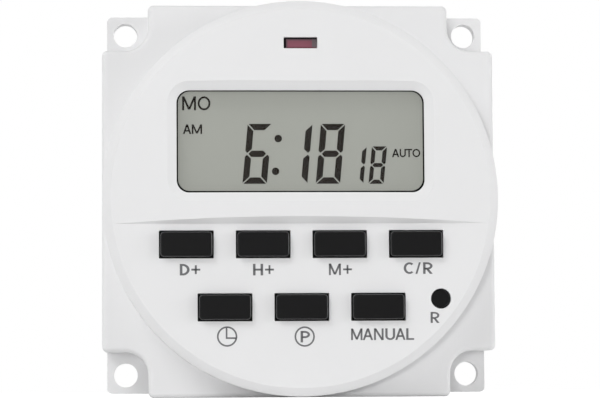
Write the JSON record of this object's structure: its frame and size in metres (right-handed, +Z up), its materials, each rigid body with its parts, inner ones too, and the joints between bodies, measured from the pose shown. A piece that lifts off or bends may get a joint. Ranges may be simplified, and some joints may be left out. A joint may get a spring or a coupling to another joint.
{
  "type": "digital timer switch",
  "caption": "Flush timer switch with a raised round face, a segment display, black push keys, corner mounting ears and blade terminals on its rear box.",
  "frame": {"origin": "middle of the four ear holes, on the rear seating face of the ears", "axes": "front faces -Y, +X to the right seen from the front, +Z up, +Y into the wall"},
  "size_m": [0.06, 0.0415, 0.06],
  "materials": {
    "white_shell": "fine moulded satin",
    "clear_window": "clear gloss",
    "red_lens": "dark red, translucent",
    "red_lamp": "diffused red",
    "polariser": "matte film",
    "display_glass": "thin clear glass",
    "reflector": "satin foil",
    "holder": "moulded",
    "contact_rubber": "striped",
    "display_board": "lacquered board",
    "power_board": "lacquered board",
    "chip": "moulded",
    "bright_metal": "plated",
    "battery": "bright",
    "connector": "moulded",
    "screw_steel": "plated",
    "switch_body": "moulded",
    "plunger": "moulded",
    "black_key": "satin",
    "relay_base": "moulded",
    "relay_cover": "satin",
    "film_capacitor": "glossy case",
    "can_sleeve": "shrunk sleeve",
    "diode": "moulded",
    "zener": "small glass body",
    "resistor": "lacquered",
    "varistor": "dipped",
    "fuse": "moulded",
    "plated_brass": "tin plated"
  },
  "bodies": {
    "housing": {"front_cover": "white_shell", "base_housing": "white_shell", "display_window": "clear_window", "indicator_lens": "red_lens", "indicator_lamp": "red_lamp", "display_polariser": "polariser", "display_front_glass": "display_glass", "display_rear_glass": "display_glass", "display_reflector": "reflector", "display_holder": "holder", "contact_strip": "contact_rubber", "display_board": "display_board", "controller_chip": "chip", "quartz_crystal": "bright_metal", "backup_battery": "battery", "battery_tabs": "bright_metal", "link_socket": "connector", "display_board_screws": "screw_steel", "switch_bodies": "switch_body", "switch_covers": "bright_metal", "power_board": "power_board", "relay_base": "relay_base", "relay_cover": "relay_cover", "film_capacitor": "film_capacitor", "electrolytic_capacitor": "can_sleeve", "rectifier_diodes": "diode", "zener_diode": "zener", "dropper_resistor": "resistor", "varistor": "varistor", "fuse": "fuse", "relay_transistor": "chip", "link_header": "connector", "link_pins": "plated_brass", "power_board_screws": "screw_steel", "line_blade": "plated_brass", "neutral_blade": "plated_brass", "common_blade": "plated_brass", "normally_open_blade": "plated_brass", "normally_closed_blade": "plated_brass"},
    "day_button": {"day_key": "black_key", "day_plunger": "plunger"},
    "hour_button": {"hour_key": "black_key", "hour_plunger": "plunger"},
    "minute_button": {"minute_key": "black_key", "minute_plunger": "plunger"},
    "clear_recall_button": {"clear_recall_key": "black_key", "clear_recall_plunger": "plunger"},
    "clock_button": {"clock_key": "black_key", "clock_plunger": "plunger"},
    "program_button": {"program_key": "black_key", "program_plunger": "plunger"},
    "manual_button": {"manual_key": "black_key", "manual_plunger": "plunger"},
    "reset_button": {"reset_key": "black_key", "reset_plunger": "plunger"}
  },
  "joints": [
    {"name": "day_press", "type": "slide", "parent": "housing", "child": "day_button", "axis": [0, 1, 0], "range_m": [0, 0.0003], "stiffness_N_per_m": 4000},
    {"name": "hour_press", "type": "slide", "parent": "housing", "child": "hour_button", "axis": [0, 1, 0], "range_m": [0, 0.0003], "stiffness_N_per_m": 4000},
    {"name": "minute_press", "type": "slide", "parent": "housing", "child": "minute_button", "axis": [0, 1, 0], "range_m": [0, 0.0003], "stiffness_N_per_m": 4000},
    {"name": "clear_recall_press", "type": "slide", "parent": "housing", "child": "clear_recall_button", "axis": [0, 1, 0], "range_m": [0, 0.0003], "stiffness_N_per_m": 4000},
    {"name": "clock_press", "type": "slide", "parent": "housing", "child": "clock_button", "axis": [0, 1, 0], "range_m": [0, 0.0003], "stiffness_N_per_m": 4000},
    {"name": "program_press", "type": "slide", "parent": "housing", "child": "program_button", "axis": [0, 1, 0], "range_m": [0, 0.0003], "stiffness_N_per_m": 4000},
    {"name": "manual_press", "type": "slide", "parent": "housing", "child": "manual_button", "axis": [0, 1, 0], "range_m": [0, 0.0003], "stiffness_N_per_m": 4000},
    {"name": "reset_press", "type": "slide", "parent": "housing", "child": "reset_button", "axis": [0, 1, 0], "range_m": [0, 0.0003], "stiffness_N_per_m": 4000}
  ]
}
